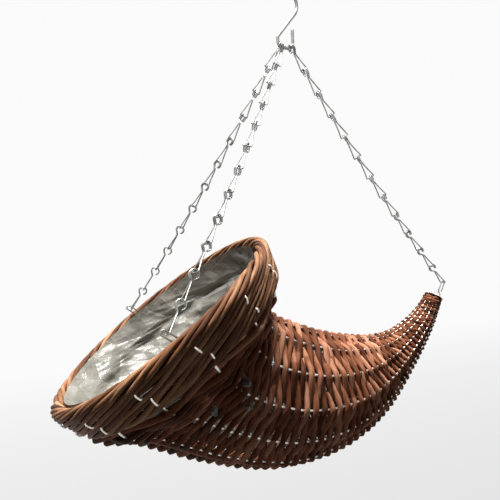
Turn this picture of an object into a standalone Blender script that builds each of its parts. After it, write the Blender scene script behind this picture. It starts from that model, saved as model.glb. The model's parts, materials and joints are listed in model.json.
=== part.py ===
"""Hanging horn basket of woven willow: wire frame, liner, rolled rim, three wire chains and a hook.

Metres, +Z up. The origin is the point where the inside of the hook's crook rests on its bracket.
The horn lies in the XZ plane, its mouth towards -X and its tip towards +X, and -Y is the near side.
"""
import math

import bmesh
import bpy
from mathutils import Matrix, Vector

# Hook, one bent wire
HOOK_WIRE_RADIUS = 0.0020
CROOK_RADIUS = 0.0180
HOOK_BOTTOM_DROP = 0.0547
HOOK_HALF_WIDTH = 0.0105
HOOK_CORNER_RADIUS = 0.0065
HOOK_LEG_HEIGHT = 0.0250
HOOK_SHANK_HEIGHT = 0.0125
SHANK_LEAN = math.radians(37)
CROOK_SWEEP = math.radians(207)
CROOK_SECTIONS = 12
CORNER_SECTIONS = 5

# Chains: triangular links of wire, each with a double eye over the bar of the link above
CHAIN_LINKS = 12
CHAIN_PITCH = 0.0332
CHAIN_WIRE_RADIUS = 0.0009
LINK_HALF_WIDTH = 0.0048
LINK_EYE_RADIUS = 0.0050
LINK_NECK_GAP = 0.0005
LINK_CORNER = 0.0011
LINK_CURL = tuple(math.radians(turn) for turn in (230, 180, 135, 90, 45, 0, -50))
link_neck_share = 1.7
CHAIN_BOW = math.radians(3.2)
HANG_ANGLES = {"far": math.radians(-43), "near": math.radians(-2), "tip": math.radians(38)}
TWIST_WAYS = {"far": -1, "near": 1, "tip": 1}

# Rim roll of twisted rods round the mouth
MOUTH_RADIUS = 0.1500
ROLL_FLARE = math.radians(14.5)
RIM_ROD_RADIUS = 0.0022
RIM_RODS = 6
ROD_TURNS = 2
TWIST_STEPS_PER_RIB = 3
SEGMENTS_PER_RIB = 4
ROD_END_CLEARANCE = 0.0010
RIB_CLEARANCE = 0.0006
roll_end_share = 2.45
mouth_oval_share = 0.92

# Horn: the line of the frame's ribs, told as shares of the rib ring's radius and of the length
HORN_LENGTH = 0.4740
HORN_STRAIGHT = 0.0245
MOUTH_TILT = math.radians(53.3)
HORN_BEND = math.radians(118.0)
horn_bend_shares = (1.376, -1.153, 0.777)
horn_radius_shares = ((0.097, 0.785), (0.193, 0.668), (0.386, 0.600), (0.578, 0.442), (0.771, 0.200),
                      (0.930, 0.090), (1.0, 0.062))
MOUTH_X = -0.1630
MOUTH_TO_HOOK_DROP = 0.3443

# Wire frame, weave and liner
RIBS = 14
RIB_WIRE_RADIUS = 0.0008
RING_WIRE_RADIUS = 0.0014
WEAVE_THICKNESS = 0.0060
WEAVE_BANDS = 9
band_growth = 1.3
COURSES_PER_BAND = 2
COURSE_RIDGE = 0.0014
COURSE_KINK = 0.0011
TIP_SETBACK = 0.0045
LINER_THICKNESS = 0.0010
LINER_SLACK = 0.0010

# Wire eyes where the chains hold the basket
EYE_WIRE_RADIUS = 0.0009
EYE_HALF_WIDTH = 0.0027
EYE_SECTIONS = 4
RIM_EYE_LANE_STEPS = 11
RIM_EYE_GAP_LANE = 7.5
RIM_EYE_LENGTH = 0.0225
RIM_EYE_LEAN = math.radians(36)
rim_eye_bar_share = 0.68
TIP_EYE_LENGTH = 0.0205
TIP_EYE_LEAN = math.radians(63)

PIECE_GAP = 0.0003

COLLECTION_NAME = "cornucopia_basket"
HOOK_BOTTOM_Z = HOOK_WIRE_RADIUS - CROOK_RADIUS - HOOK_BOTTOM_DROP
RIB_STEP = math.tau / RIBS
RIM_LANES = RIM_RODS * ROD_TURNS
HORN_STEPS = 240
SLOPE_REACH = HORN_LENGTH / (2 * RIBS)
FACET_SHARE = math.cos(math.pi / 8)
LINK_EYE_SEAT = LINK_EYE_RADIUS - (2 * CHAIN_WIRE_RADIUS + PIECE_GAP) / FACET_SHARE

# Racetrack section of the rim roll, on which the rods lie
ROLL_END_RADIUS = roll_end_share * RIM_ROD_RADIUS
ROLL_STEP = 2 * ROLL_END_RADIUS * math.asin(
    (RIM_ROD_RADIUS + RIB_WIRE_RADIUS + RIB_CLEARANCE) / ROLL_END_RADIUS)
ROLL_STRAIGHT = (RIM_LANES * ROLL_STEP - math.tau * ROLL_END_RADIUS) / 2
ROLL_REACH = ROLL_STRAIGHT / 2 * math.sin(ROLL_FLARE) + ROLL_END_RADIUS + RIM_ROD_RADIUS
RIB_RING_RADIUS = MOUTH_RADIUS - ROLL_REACH


def clear_scene():
    """Remove every object and every collection that the scene holds."""
    for item in list(bpy.data.objects):
        bpy.data.objects.remove(item, do_unlink=True)
    for group in list(bpy.data.collections):
        bpy.data.collections.remove(group)


def new_collection(name):
    """A collection in the scene."""
    group = bpy.data.collections.new(name)
    bpy.context.scene.collection.children.link(group)
    return group


def new_material(name, colour, roughness, metallic):
    """A Principled material of one colour."""
    material = bpy.data.materials.new(name)
    material.use_nodes = True
    shader = material.node_tree.nodes["Principled BSDF"]
    shader.inputs["Base Color"].default_value = (*colour, 1.0)
    shader.inputs["Roughness"].default_value = roughness
    shader.inputs["Metallic"].default_value = metallic
    material.diffuse_color = (*colour, 1.0)
    return material


WIRE_LOOK = ((0.42, 0.42, 0.40), 0.38, 1.0)
FRAME_LOOK = ((0.20, 0.17, 0.15), 0.50, 1.0)
ROD_LOOK = ((0.19, 0.075, 0.035), 0.55, 0.0)
WEAVE_LOOK = ((0.23, 0.095, 0.045), 0.60, 0.0)
LINER_LOOK = ((0.62, 0.60, 0.57), 0.35, 0.0)


# Curves and meshes

def wire_curve(name, points, radius, group, look, rounding, cyclic=False):
    """A tube of the given radius along straight runs between the points."""
    curve = bpy.data.curves.new(name, "CURVE")
    curve.dimensions = "3D"
    curve.bevel_depth = radius
    curve.bevel_resolution = rounding
    curve.use_fill_caps = True
    spline = curve.splines.new("POLY")
    spline.points.add(len(points) - 1)
    for spot, point in zip(spline.points, points):
        spot.co = (*point, 1.0)
    spline.use_cyclic_u = cyclic
    item = bpy.data.objects.new(name, curve)
    item.data.materials.append(new_material(name, *look))
    group.objects.link(item)
    return item


def curve_to_mesh(item, group):
    """The same piece as a welded mesh object, in place of the curve."""
    bpy.context.view_layer.update()
    graph = bpy.context.evaluated_depsgraph_get()
    mesh = bpy.data.meshes.new_from_object(item.evaluated_get(graph))
    shape = bmesh.new()
    shape.from_mesh(mesh)
    bmesh.ops.remove_doubles(shape, verts=shape.verts, dist=PIECE_GAP / RIBS)
    bmesh.ops.recalc_face_normals(shape, faces=shape.faces)
    shape.to_mesh(mesh)
    shape.free()
    name = item.name
    matrix = item.matrix_world.copy()
    bpy.data.objects.remove(item, do_unlink=True)
    solid = bpy.data.objects.new(name, mesh)
    mesh.name = name
    solid.matrix_world = matrix
    group.objects.link(solid)
    return solid


def join_solids(base, others):
    """Boolean union of the base with each of the others, which are then removed."""
    for other in others:
        union = base.modifiers.new("join", "BOOLEAN")
        union.operation = "UNION"
        union.solver = "EXACT"
        union.object = other
        bpy.context.view_layer.update()
        graph = bpy.context.evaluated_depsgraph_get()
        mesh = bpy.data.meshes.new_from_object(base.evaluated_get(graph))
        base.modifiers.clear()
        base.data = mesh
        bpy.data.objects.remove(other, do_unlink=True)
    return base


def ring_solid(name, rings, outer_strips, group, look):
    """A closed tube-like solid: each ring of points is joined to the next, and the last to the first.

    The strips after the outer ones start their faces at the other ring, so that the two sides of a
    wall, and the ends of two neighbours, are split along the same diagonals.
    """
    shape = bmesh.new()
    loops = [[shape.verts.new(point) for point in ring] for ring in rings]
    turn = len(loops[0])
    for step in range(turn):
        after = (step + 1) % turn
        for place, (first, second) in enumerate(zip(loops, loops[1:])):
            if place < outer_strips:
                shape.faces.new((first[step], first[after], second[after], second[step]))
            else:
                shape.faces.new((second[step], first[step], first[after], second[after]))
        shape.faces.new((loops[0][step], loops[-1][step], loops[-1][after], loops[0][after]))
    bmesh.ops.recalc_face_normals(shape, faces=shape.faces)
    mesh = bpy.data.meshes.new(name)
    shape.to_mesh(mesh)
    shape.free()
    mesh.materials.append(new_material(name, *look))
    item = bpy.data.objects.new(name, mesh)
    group.objects.link(item)
    return item


def hang_from(item, pivot):
    """Set the object's origin at its pivot and keep the piece where it is."""
    item.location = pivot
    if item.type == "MESH":
        item.data.transform(Matrix.Translation(-pivot))
    else:
        for spline in item.data.splines:
            for spot in spline.points:
                spot.co = (*(Vector(spot.co[:3]) - pivot), 1.0)


# Horn centreline and its frames

def horn_heading(run):
    """Heading of the centreline above +X, for a run along it from the mouth."""
    share = max(0.0, (run - HORN_STRAIGHT) / (HORN_LENGTH - HORN_STRAIGHT))
    first, second, third = horn_bend_shares
    return HORN_BEND * (first * share + second * share ** 2 + third * share ** 3) - MOUTH_TILT


def horn_centre(run):
    """Point of the centreline, summed in short steps from the mouth's centre."""
    steps = max(1, round(abs(run) / HORN_LENGTH * HORN_STEPS))
    across, up = 0.0, 0.0
    for step in range(steps):
        heading = horn_heading(run * (step + 0.5) / steps)
        across += math.cos(heading) * run / steps
        up += math.sin(heading) * run / steps
    return Vector((across, 0, up))


def rib_line_radius(run):
    """Radius of the rib line at a run, by cubic pieces through the shares."""
    share = run / HORN_LENGTH
    fall = HORN_STRAIGHT * math.tan(ROLL_FLARE) / RIB_RING_RADIUS
    table = ((0.0, 1.0), (HORN_STRAIGHT / HORN_LENGTH, 1 - fall)) + horn_radius_shares
    if share <= table[1][0]:
        slope = (table[1][1] - table[0][1]) / (table[1][0] - table[0][0])
        return RIB_RING_RADIUS * (table[0][1] + slope * (share - table[0][0]))
    spans = list(zip(table, table[1:]))
    rises = [(after[1] - before[1]) / (after[0] - before[0]) for before, after in spans]
    slopes = [rises[0], rises[0]]
    slopes += [(left + right) / 2 for left, right in zip(rises[1:], rises[2:])] + [rises[-1]]
    place = next((step for step, span in enumerate(spans) if share <= span[1][0]), len(spans) - 1)
    (start, low), (end, high) = spans[place]
    width = end - start
    part = (share - start) / width
    blend = part * part * (3 - 2 * part)
    curve = low + (high - low) * blend
    curve += width * slopes[place] * part * (1 - part) ** 2
    curve -= width * slopes[place + 1] * part * part * (1 - part)
    return RIB_RING_RADIUS * curve


def across_horn(angle, top, radius, offset):
    """Step from the centreline to the oval of the given radius and on outwards by the offset."""
    wide = (radius * mouth_oval_share + offset) * math.sin(angle)
    return Vector((0, wide, 0)) + top * ((radius + offset) * math.cos(angle))


def rib_spot(run, angle):
    """Point of the ribs' surface at a run and an angle from the concave top."""
    heading = horn_heading(run)
    top = Vector((-math.sin(heading), 0, math.cos(heading)))
    return horn_centre(run) + across_horn(angle, top, rib_line_radius(run), 0)


def horn_point(run, angle, offset):
    """Point of the ribs' surface moved outwards along its normal by the offset."""
    spot = rib_spot(run, angle)
    if not offset:
        return spot
    after = min(run + SLOPE_REACH, HORN_LENGTH)
    along = rib_spot(after, angle) - rib_spot(run - SLOPE_REACH, angle)
    around = rib_spot(run, angle + RIB_STEP / 2) - rib_spot(run, angle - RIB_STEP / 2)
    outward = around.cross(along).normalized()
    if outward.dot(spot - horn_centre(run)) < 0:
        outward = -outward
    return spot + outward * offset


# Rim roll, told in the plane across the rim

def roll_spot(distance):
    """Short and long coordinate on the racetrack, a distance round from its back tip."""
    around = distance % (RIM_LANES * ROLL_STEP)
    quarter = ROLL_END_RADIUS * math.pi / 2
    if around <= quarter:
        turn = around / ROLL_END_RADIUS
        return ROLL_END_RADIUS * math.sin(turn), ROLL_STRAIGHT / 2 + ROLL_END_RADIUS * math.cos(turn)
    if around <= quarter + ROLL_STRAIGHT:
        return ROLL_END_RADIUS, ROLL_STRAIGHT / 2 - (around - quarter)
    if around <= 3 * quarter + ROLL_STRAIGHT:
        turn = (around - quarter - ROLL_STRAIGHT) / ROLL_END_RADIUS
        return ROLL_END_RADIUS * math.cos(turn), -ROLL_STRAIGHT / 2 - ROLL_END_RADIUS * math.sin(turn)
    if around <= 3 * quarter + 2 * ROLL_STRAIGHT:
        return -ROLL_END_RADIUS, around - 3 * quarter - ROLL_STRAIGHT - ROLL_STRAIGHT / 2
    turn = (RIM_LANES * ROLL_STEP - around) / ROLL_END_RADIUS
    return -ROLL_END_RADIUS * math.sin(turn), ROLL_STRAIGHT / 2 + ROLL_END_RADIUS * math.cos(turn)


def roll_point(angle, short, long):
    """Point across the rim roll at an angle round the mouth, long pointing back along the ribs."""
    back = short * math.sin(ROLL_FLARE) + long * math.cos(ROLL_FLARE)
    heading = horn_heading(0)
    axis = Vector((math.cos(heading), 0, math.sin(heading)))
    top = Vector((-math.sin(heading), 0, math.cos(heading)))
    radius = RIB_RING_RADIUS - long * math.sin(ROLL_FLARE)
    return across_horn(angle, top, radius, short * math.cos(ROLL_FLARE)) + axis * back


# Hook path and the places of the top eyes

def hook_points():
    """Centreline of the hook: crook, leaning shank, bottom bend and short leg."""
    centre = Vector((0, 0, HOOK_WIRE_RADIUS - CROOK_RADIUS))
    points = []
    for step in range(CROOK_SECTIONS + 1):
        turn = CROOK_SWEEP * (1 - step / CROOK_SECTIONS) - SHANK_LEAN
        points.append(centre + CROOK_RADIUS * Vector((math.cos(turn), 0, math.sin(turn))))
    shank_foot = Vector((-HOOK_HALF_WIDTH, 0, HOOK_BOTTOM_Z + HOOK_SHANK_HEIGHT))
    lean = Vector((math.sin(SHANK_LEAN), 0, math.cos(SHANK_LEAN)))
    points.append(shank_foot + lean * HOOK_WIRE_RADIUS)
    points.append(shank_foot - Vector((0, 0, HOOK_WIRE_RADIUS)))
    for side in (-1, 1):
        for step in range(CORNER_SECTIONS + 1):
            turn = math.pi / 2 * step / CORNER_SECTIONS
            if side < 0:
                turn = math.pi / 2 - turn
            points.append(hook_corner(side * turn))
    points.append(Vector((HOOK_HALF_WIDTH, 0, HOOK_BOTTOM_Z + HOOK_LEG_HEIGHT)))
    return points


def hook_corner(slope):
    """Point of the bottom bend where the wire climbs at the slope angle, left ones negative."""
    reach = HOOK_HALF_WIDTH - HOOK_CORNER_RADIUS
    side = math.copysign(1, slope)
    across = side * reach + HOOK_CORNER_RADIUS * math.sin(slope)
    return Vector((across, 0, HOOK_BOTTOM_Z + HOOK_CORNER_RADIUS * (1 - math.cos(slope))))


# Chains

def link_points():
    """Centreline of one link: v across along the bar, w square to it, u up; the bar is at u = 0."""
    lane = CHAIN_WIRE_RADIUS + LINK_NECK_GAP / 2
    eye_up = CHAIN_PITCH - LINK_EYE_SEAT
    neck_up = eye_up - link_neck_share * LINK_EYE_RADIUS
    half = []
    for turn in LINK_CURL:
        half.append(Vector((lane, LINK_EYE_RADIUS * math.cos(turn),
                            eye_up + LINK_EYE_RADIUS * math.sin(turn))))
    half.append(Vector((lane, 0, neck_up)))
    half.append(Vector((LINK_HALF_WIDTH, 0, LINK_CORNER)))
    half.append(Vector((LINK_HALF_WIDTH - LINK_CORNER, 0, 0)))
    other = [Vector((-point.x, point.y, point.z)) for point in reversed(half)]
    return half + other


def hook_seat(slope, along):
    """How far above the first eye's centre the hook's wire may lie, for its lean to the eye."""
    wire = Vector((math.cos(slope), 0, math.sin(slope)))
    lean = math.asin(abs(wire.dot(along)))
    half_eye = 2 * CHAIN_WIRE_RADIUS + LINK_NECK_GAP / 2
    reach = HOOK_WIRE_RADIUS / math.cos(lean) + half_eye * math.tan(lean)
    reach += half_eye ** 2 / (2 * HOOK_CORNER_RADIUS)
    inner = LINK_EYE_RADIUS - CHAIN_WIRE_RADIUS / FACET_SHARE
    return inner - reach - PIECE_GAP


def chain_layout(seat):
    """Bar places from the basket up in the bow's plane (along, aside), their angles and the end."""
    lengths = [CHAIN_PITCH] * (CHAIN_LINKS - 1) + [CHAIN_PITCH - LINK_EYE_SEAT + seat]
    angles = [CHAIN_BOW * (2 * step / (CHAIN_LINKS - 1) - 1) for step in range(CHAIN_LINKS)]
    places = [(0.0, 0.0)]
    for length, angle in zip(lengths, angles):
        along, aside = places[-1]
        places.append((along + length * math.cos(angle), aside + length * math.sin(angle)))
    return places, angles


def chain_span(seat):
    """Straight distance from the basket's bar to the hook's wire."""
    places, _ = chain_layout(seat)
    return math.hypot(*places[-1])


def eye_axes(lean):
    """Direction of an eye's loop and the direction across it, in the XZ plane."""
    along = Vector((math.cos(lean), 0, math.sin(lean)))
    across = Vector((-math.sin(lean), 0, math.cos(lean)))
    return along, across


def rim_eye_points(side):
    """Centreline of a rim eye, about the mouth's centre: stem out between two rods, then the loop."""
    angle = side * RIM_EYE_LANE_STEPS / TWIST_STEPS_PER_RIB * RIB_STEP
    _, gap_place = roll_spot(RIM_EYE_GAP_LANE * ROLL_STEP)
    foot = roll_point(angle, 0, -RING_WIRE_RADIUS - PIECE_GAP)
    bend = roll_point(angle, 0, gap_place)
    root = roll_point(angle, -ROLL_END_RADIUS - RIM_ROD_RADIUS - EYE_WIRE_RADIUS, gap_place)
    along, across = eye_axes(math.pi - RIM_EYE_LEAN)
    return [foot, bend, root] + loop_points(root, along, across, RIM_EYE_LENGTH), root, along, across


def loop_points(root, along, across, length):
    """Loop of an eye from its root: out along one leg, round the end and back along the other."""
    points = []
    straight = length - EYE_HALF_WIDTH - EYE_WIRE_RADIUS
    lead = EYE_HALF_WIDTH
    points.append(root + along * lead + across * EYE_HALF_WIDTH)
    for step in range(EYE_SECTIONS + 1):
        turn = math.pi * step / EYE_SECTIONS
        points.append(root + along * (straight + EYE_HALF_WIDTH * math.sin(turn))
                      + across * EYE_HALF_WIDTH * math.cos(turn))
    points.append(root + along * (lead + EYE_WIRE_RADIUS) - across * EYE_HALF_WIDTH)
    return points


def rim_eye_bar(side):
    """Place of the lowest link's bar in a rim eye, about the mouth's centre."""
    _, root, along, across = rim_eye_points(side)
    upper = across if across.z > 0 else -across
    rise = EYE_HALF_WIDTH - EYE_WIRE_RADIUS - CHAIN_WIRE_RADIUS - PIECE_GAP
    return root + along * (RIM_EYE_LENGTH * rim_eye_bar_share) + upper * rise


def tip_eye_points():
    """Centreline of the tip eye, about the mouth's centre: from the tip ring's outer side."""
    heading = horn_heading(HORN_LENGTH)
    out = Vector((math.cos(heading), 0, math.sin(heading)))
    ring_spot = horn_point(HORN_LENGTH, math.pi, 0)
    foot = ring_spot + out * (RING_WIRE_RADIUS + PIECE_GAP)
    root = foot + out * (2 * EYE_WIRE_RADIUS)
    along, across = eye_axes(TIP_EYE_LEAN)
    return [foot, root] + loop_points(root, along, across, TIP_EYE_LENGTH), root, along, across


def tip_eye_bar():
    """Place of the lowest link's bar in the tip eye, about the mouth's centre."""
    _, root, along, across = tip_eye_points()
    straight = TIP_EYE_LENGTH - EYE_HALF_WIDTH - EYE_WIRE_RADIUS
    slack = EYE_HALF_WIDTH - EYE_WIRE_RADIUS - CHAIN_WIRE_RADIUS - PIECE_GAP
    pull = (along + across).normalized()
    return root + along * straight + pull * slack


def mouth_centre():
    """Place of the mouth's centre where both pairs of chains are just taut."""
    guess = Vector((MOUTH_X, 0, HOOK_BOTTOM_Z - MOUTH_TO_HOOK_DROP))
    for _ in range(RIBS):
        circles = []
        for name, bar in (("near", rim_eye_bar(-1)), ("tip", tip_eye_bar())):
            hang = hook_corner(HANG_ANGLES[name])
            along = (hang - guess - bar).normalized()
            span = chain_span(hook_seat(HANG_ANGLES[name], along))
            centre = hang - bar
            circles.append((centre.x, centre.z, math.sqrt(span ** 2 - centre.y ** 2)))
        (x_one, z_one, r_one), (x_two, z_two, r_two) = circles
        apart = math.hypot(x_two - x_one, z_two - z_one)
        reach = (apart ** 2 + r_one ** 2 - r_two ** 2) / (2 * apart)
        drop = math.sqrt(r_one ** 2 - reach ** 2)
        way_x, way_z = (x_two - x_one) / apart, (z_two - z_one) / apart
        guess = Vector((x_one + reach * way_x + drop * way_z, 0, z_one + reach * way_z - drop * way_x))
        if guess.z > z_one:
            guess = Vector((x_one + reach * way_x - drop * way_z, 0, z_one + reach * way_z + drop * way_x))
    return guess


def chain_frames(name, bar, first_bar_way):
    """World matrices of one chain's links, from the hook (first) to the basket (last)."""
    hang = hook_corner(HANG_ANGLES[name])
    chord = (hang - bar).normalized()
    level = chord.cross(Vector((0, 0, 1))).normalized()
    aside = level.cross(chord)
    places, angles = chain_layout(hook_seat(HANG_ANGLES[name], chord))
    tilt = math.atan2(places[-1][1], places[-1][0])
    if aside.z < 0:
        aside = -aside
    top_way = Vector((math.cos(HANG_ANGLES[name]), 0, math.sin(HANG_ANGLES[name])))
    frames = []
    for step in range(CHAIN_LINKS):
        along, off = places[step]
        way = angles[step] - tilt
        u = chord * math.cos(way) + aside * math.sin(way)
        spot = bar + chord * (along * math.cos(tilt) + off * math.sin(tilt))
        spot += aside * (off * math.cos(tilt) - along * math.sin(tilt))
        low = (first_bar_way - u * first_bar_way.dot(u)).normalized()
        high = (top_way - u * top_way.dot(u)).normalized()
        if low.cross(high).dot(u) * TWIST_WAYS[name] < 0:
            high = -high
        swing = math.acos(max(-1.0, min(1.0, low.dot(high)))) * TWIST_WAYS[name]
        turn = Matrix.Rotation(swing * step / (CHAIN_LINKS - 1), 3, u)
        v = turn @ low
        w = u.cross(v)
        frame = Matrix((v, w, u)).transposed().to_4x4()
        frame.translation = spot
        frames.append(frame)
    frames.reverse()
    return frames


# Pieces

def make_hook(group):
    """Hook of one thick wire with its crook at the origin."""
    return wire_curve("hook", hook_points(), HOOK_WIRE_RADIUS, group, WIRE_LOOK, 2)


def make_chain(name, bar, group):
    """Links that share one mesh, each standing on the axis of its own bar."""
    mesh = None
    links = []
    for step, frame in enumerate(chain_frames(name, bar, Vector((0, 1, 0)))):
        label = f"{name}_chain_link_{step + 1:02d}"
        if mesh is None:
            first = wire_curve(label, link_points(), CHAIN_WIRE_RADIUS, group, WIRE_LOOK, 0)
            item = curve_to_mesh(first, group)
            mesh = item.data
            mesh.materials.clear()
            mesh.materials.append(new_material(name + "_chain_wire", *WIRE_LOOK))
        else:
            item = bpy.data.objects.new(label, mesh)
            group.objects.link(item)
        item.matrix_world = frame
        links.append(item)
    return links


def make_rim(centre, group):
    """Rods twisted round the mouth ring, each some turns long and starting a share further round."""
    rods = []
    segments = RIBS * SEGMENTS_PER_RIB * ROD_TURNS
    for rod in range(RIM_RODS):
        start = math.tau * rod / RIM_RODS
        points = []
        for step in range(segments + 1):
            trim = ROD_END_CLEARANCE / RIB_RING_RADIUS / 2
            angle = start + trim + (ROD_TURNS * math.tau - 2 * trim) * step / segments
            steps = rod + 0.5 + TWIST_STEPS_PER_RIB * (angle / RIB_STEP - 0.5)
            points.append(centre + roll_point(angle, *roll_spot(steps * ROLL_STEP)))
        rods.append(wire_curve(f"rim_rod_{rod + 1}", points, RIM_ROD_RADIUS, group, ROD_LOOK, 1))
    return rods


def band_runs():
    """Runs along the horn at which one band of weave ends and the next begins."""
    length = HORN_LENGTH - TIP_SETBACK - HORN_STRAIGHT
    shares = [(band / WEAVE_BANDS) ** band_growth for band in range(WEAVE_BANDS + 1)]
    return [HORN_STRAIGHT + length * share for share in shares]


def make_frame(centre, group):
    """Wire frame: mouth ring, ribs and tip ring joined as one welded piece."""
    segments = RIBS * SEGMENTS_PER_RIB
    ring = [centre + roll_point(math.tau * step / segments, 0, 0) for step in range(segments)]
    base = wire_curve("wire_frame", ring, RING_WIRE_RADIUS, group, FRAME_LOOK, 0, cyclic=True)
    base = curve_to_mesh(base, group)
    others = []
    runs = [0] + band_runs() + [HORN_LENGTH]
    for rib in range(RIBS):
        angle = (rib + 0.5) * RIB_STEP
        points = [centre + horn_point(run, angle, 0) for run in runs]
        wire = wire_curve("rib", points, RIB_WIRE_RADIUS, group, FRAME_LOOK, 0)
        others.append(curve_to_mesh(wire, group))
    ring = [centre + horn_point(HORN_LENGTH, (rib + 0.5) * RIB_STEP, 0) for rib in range(RIBS)]
    tip = wire_curve("tip_ring", ring, RING_WIRE_RADIUS, group, FRAME_LOOK, 0, cyclic=True)
    others.append(curve_to_mesh(tip, group))
    base = join_solids(base, others)
    base.data.materials.clear()
    base.data.materials.append(new_material("wire_frame", *FRAME_LOOK))
    return base


def weave_ring(centre, run, offset, kink):
    """Section of the weave with a corner at each rib, alternate corners pushed out and in."""
    points = []
    for rib in range(RIBS):
        push = kink if rib % 2 else -kink
        points.append(centre + horn_point(run, (rib + 0.5) * RIB_STEP, offset + push))
    return points


def drawn_back(ring, goals):
    """The ring's points, each moved a piece gap towards its goal."""
    return [point + (goal - point).normalized() * PIECE_GAP for point, goal in zip(ring, goals)]


def make_weave(centre, group):
    """Bands of weave down the horn, each a closed wall with a ridge for every course."""
    bands = []
    inner = RIB_WIRE_RADIUS + RIB_CLEARANCE
    runs = band_runs()
    for band, (start, end) in enumerate(zip(runs, runs[1:])):
        rings = []
        for step in range(2 * COURSES_PER_BAND + 1):
            run = start + (end - start) * step / (2 * COURSES_PER_BAND)
            course = band * COURSES_PER_BAND + step // 2
            crest = step % 2 == 1
            offset = inner + WEAVE_THICKNESS - (0 if crest else COURSE_RIDGE)
            kink = COURSE_KINK * (1 if course % 2 else -1) if crest else 0
            rings.append(weave_ring(centre, run, offset, kink))
        rings[-1] = drawn_back(rings[-1], rings[-2])
        inner_start = weave_ring(centre, start, inner, 0)
        rings.append(drawn_back(weave_ring(centre, end, inner, 0), inner_start))
        rings.append(inner_start)
        outer_strips = 2 * COURSES_PER_BAND + 1
        bands.append(ring_solid(f"weave_band_{band + 1}", rings, outer_strips, group, WEAVE_LOOK))
    return bands


def make_liner(centre, group):
    """Film liner inside the ribs, lapped over the inner side of the rim roll."""
    behind = RIB_WIRE_RADIUS + LINER_SLACK
    at_roll = ROLL_END_RADIUS + RIM_ROD_RADIUS + PIECE_GAP
    lap = ROLL_STRAIGHT / 2
    runs = [(-lap / 2, at_roll), (lap, at_roll)]
    runs += [(run, behind) for run in band_runs()[1:-1]]
    rings = []
    for run, inset in runs:
        rings.append([centre + horn_point(run, (rib + 0.5) * RIB_STEP, -inset) for rib in range(RIBS)])
    for run, inset in reversed(runs):
        depth = inset + LINER_THICKNESS
        rings.append([centre + horn_point(run, (rib + 0.5) * RIB_STEP, -depth) for rib in range(RIBS)])
    return ring_solid("liner", rings, len(runs), group, LINER_LOOK)


def build():
    """Make every piece and hang the basket's pieces from the hook's bottom bend."""
    clear_scene()
    group = new_collection(COLLECTION_NAME)
    make_hook(group)
    centre = mouth_centre()
    pieces = [make_frame(centre, group), make_liner(centre, group)]
    pieces += make_rim(centre, group)
    pieces += make_weave(centre, group)
    for name, side in (("far_rim_eye", 1), ("near_rim_eye", -1)):
        points = [centre + point for point in rim_eye_points(side)[0]]
        pieces.append(wire_curve(name, points, EYE_WIRE_RADIUS, group, WIRE_LOOK, 1))
    points = [centre + point for point in tip_eye_points()[0]]
    pieces.append(wire_curve("tip_eye", points, EYE_WIRE_RADIUS, group, WIRE_LOOK, 1))
    pivot = Vector((0, 0, HOOK_BOTTOM_Z))
    for item in pieces:
        hang_from(item, pivot)
    make_chain("far", centre + rim_eye_bar(1), group)
    make_chain("near", centre + rim_eye_bar(-1), group)
    make_chain("tip", centre + tip_eye_bar(), group)
    bpy.context.view_layer.update()


build()
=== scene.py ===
"""Looks of the hanging horn basket: woven willow wall, rolled rim, ribs, film liner, chains and hook.

Metres. The frame's origin is the point inside the hook's crook, the horn lies in the XZ plane with
its mouth towards -X, and an angle round the horn is counted from its hollow top side towards +Y.
"""

import json
import math

import bpy
import numpy as np
from bpy.props import FloatProperty, FloatVectorProperty, IntProperty, PointerProperty
from mathutils import Matrix, Vector


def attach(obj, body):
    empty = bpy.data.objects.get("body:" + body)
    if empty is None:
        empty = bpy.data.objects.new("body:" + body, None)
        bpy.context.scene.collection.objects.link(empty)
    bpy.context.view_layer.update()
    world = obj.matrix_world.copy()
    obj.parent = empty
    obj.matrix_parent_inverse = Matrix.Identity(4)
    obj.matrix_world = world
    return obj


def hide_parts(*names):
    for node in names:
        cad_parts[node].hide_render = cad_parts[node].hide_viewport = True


bl_info = {
    "name": "Hanging Horn Basket",
    "version": (1, 0, 0),
    "blender": (4, 5, 0),
    "location": "View3D > Sidebar > Horn Basket",
    "description": "Builds the woven wall, rim, liner, chains and hook of a hanging horn basket",
    "category": "Object",
}

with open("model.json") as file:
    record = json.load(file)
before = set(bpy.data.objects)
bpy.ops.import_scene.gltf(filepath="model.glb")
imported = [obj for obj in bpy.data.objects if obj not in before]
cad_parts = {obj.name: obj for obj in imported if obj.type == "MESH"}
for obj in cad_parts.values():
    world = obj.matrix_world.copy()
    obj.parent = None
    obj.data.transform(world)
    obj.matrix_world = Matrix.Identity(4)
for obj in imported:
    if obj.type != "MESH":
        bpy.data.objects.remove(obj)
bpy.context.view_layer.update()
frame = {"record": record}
JOINTS = {joint["name"]: joint for joint in frame["record"]["behaviour"]["joints"]}

# Horn line, as in the part's source
HORN_LENGTH = 0.4740
HORN_STRAIGHT = 0.0245
MOUTH_TILT = math.radians(53.3)
HORN_BEND = math.radians(118.0)
HORN_BEND_SHARES = (1.376, -1.153, 0.777)
HORN_RADIUS_SHARES = ((0.097, 0.785), (0.193, 0.668), (0.386, 0.600), (0.578, 0.442), (0.771, 0.200),
                      (0.930, 0.090), (1.0, 0.062))
MOUTH_CENTRE = np.array((-0.16111, 0.0, -0.41296))
MOUTH_OVAL = 0.92
RIBS = 14
RIB_STEP = math.tau / RIBS
TIP_SETBACK = 0.0045
NORMAL_REACH = HORN_LENGTH / (2 * RIBS)

# Rolled rim, as in the part's source
ROLL_FLARE = math.radians(14.5)
ROLL_END = 0.00539
ROLL_AROUND = 0.09461
ROLL_STRAIGHT = (ROLL_AROUND - math.tau * ROLL_END) / 2
RIB_RING_RADIUS = 0.13861
RIM_RODS = 6

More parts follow.
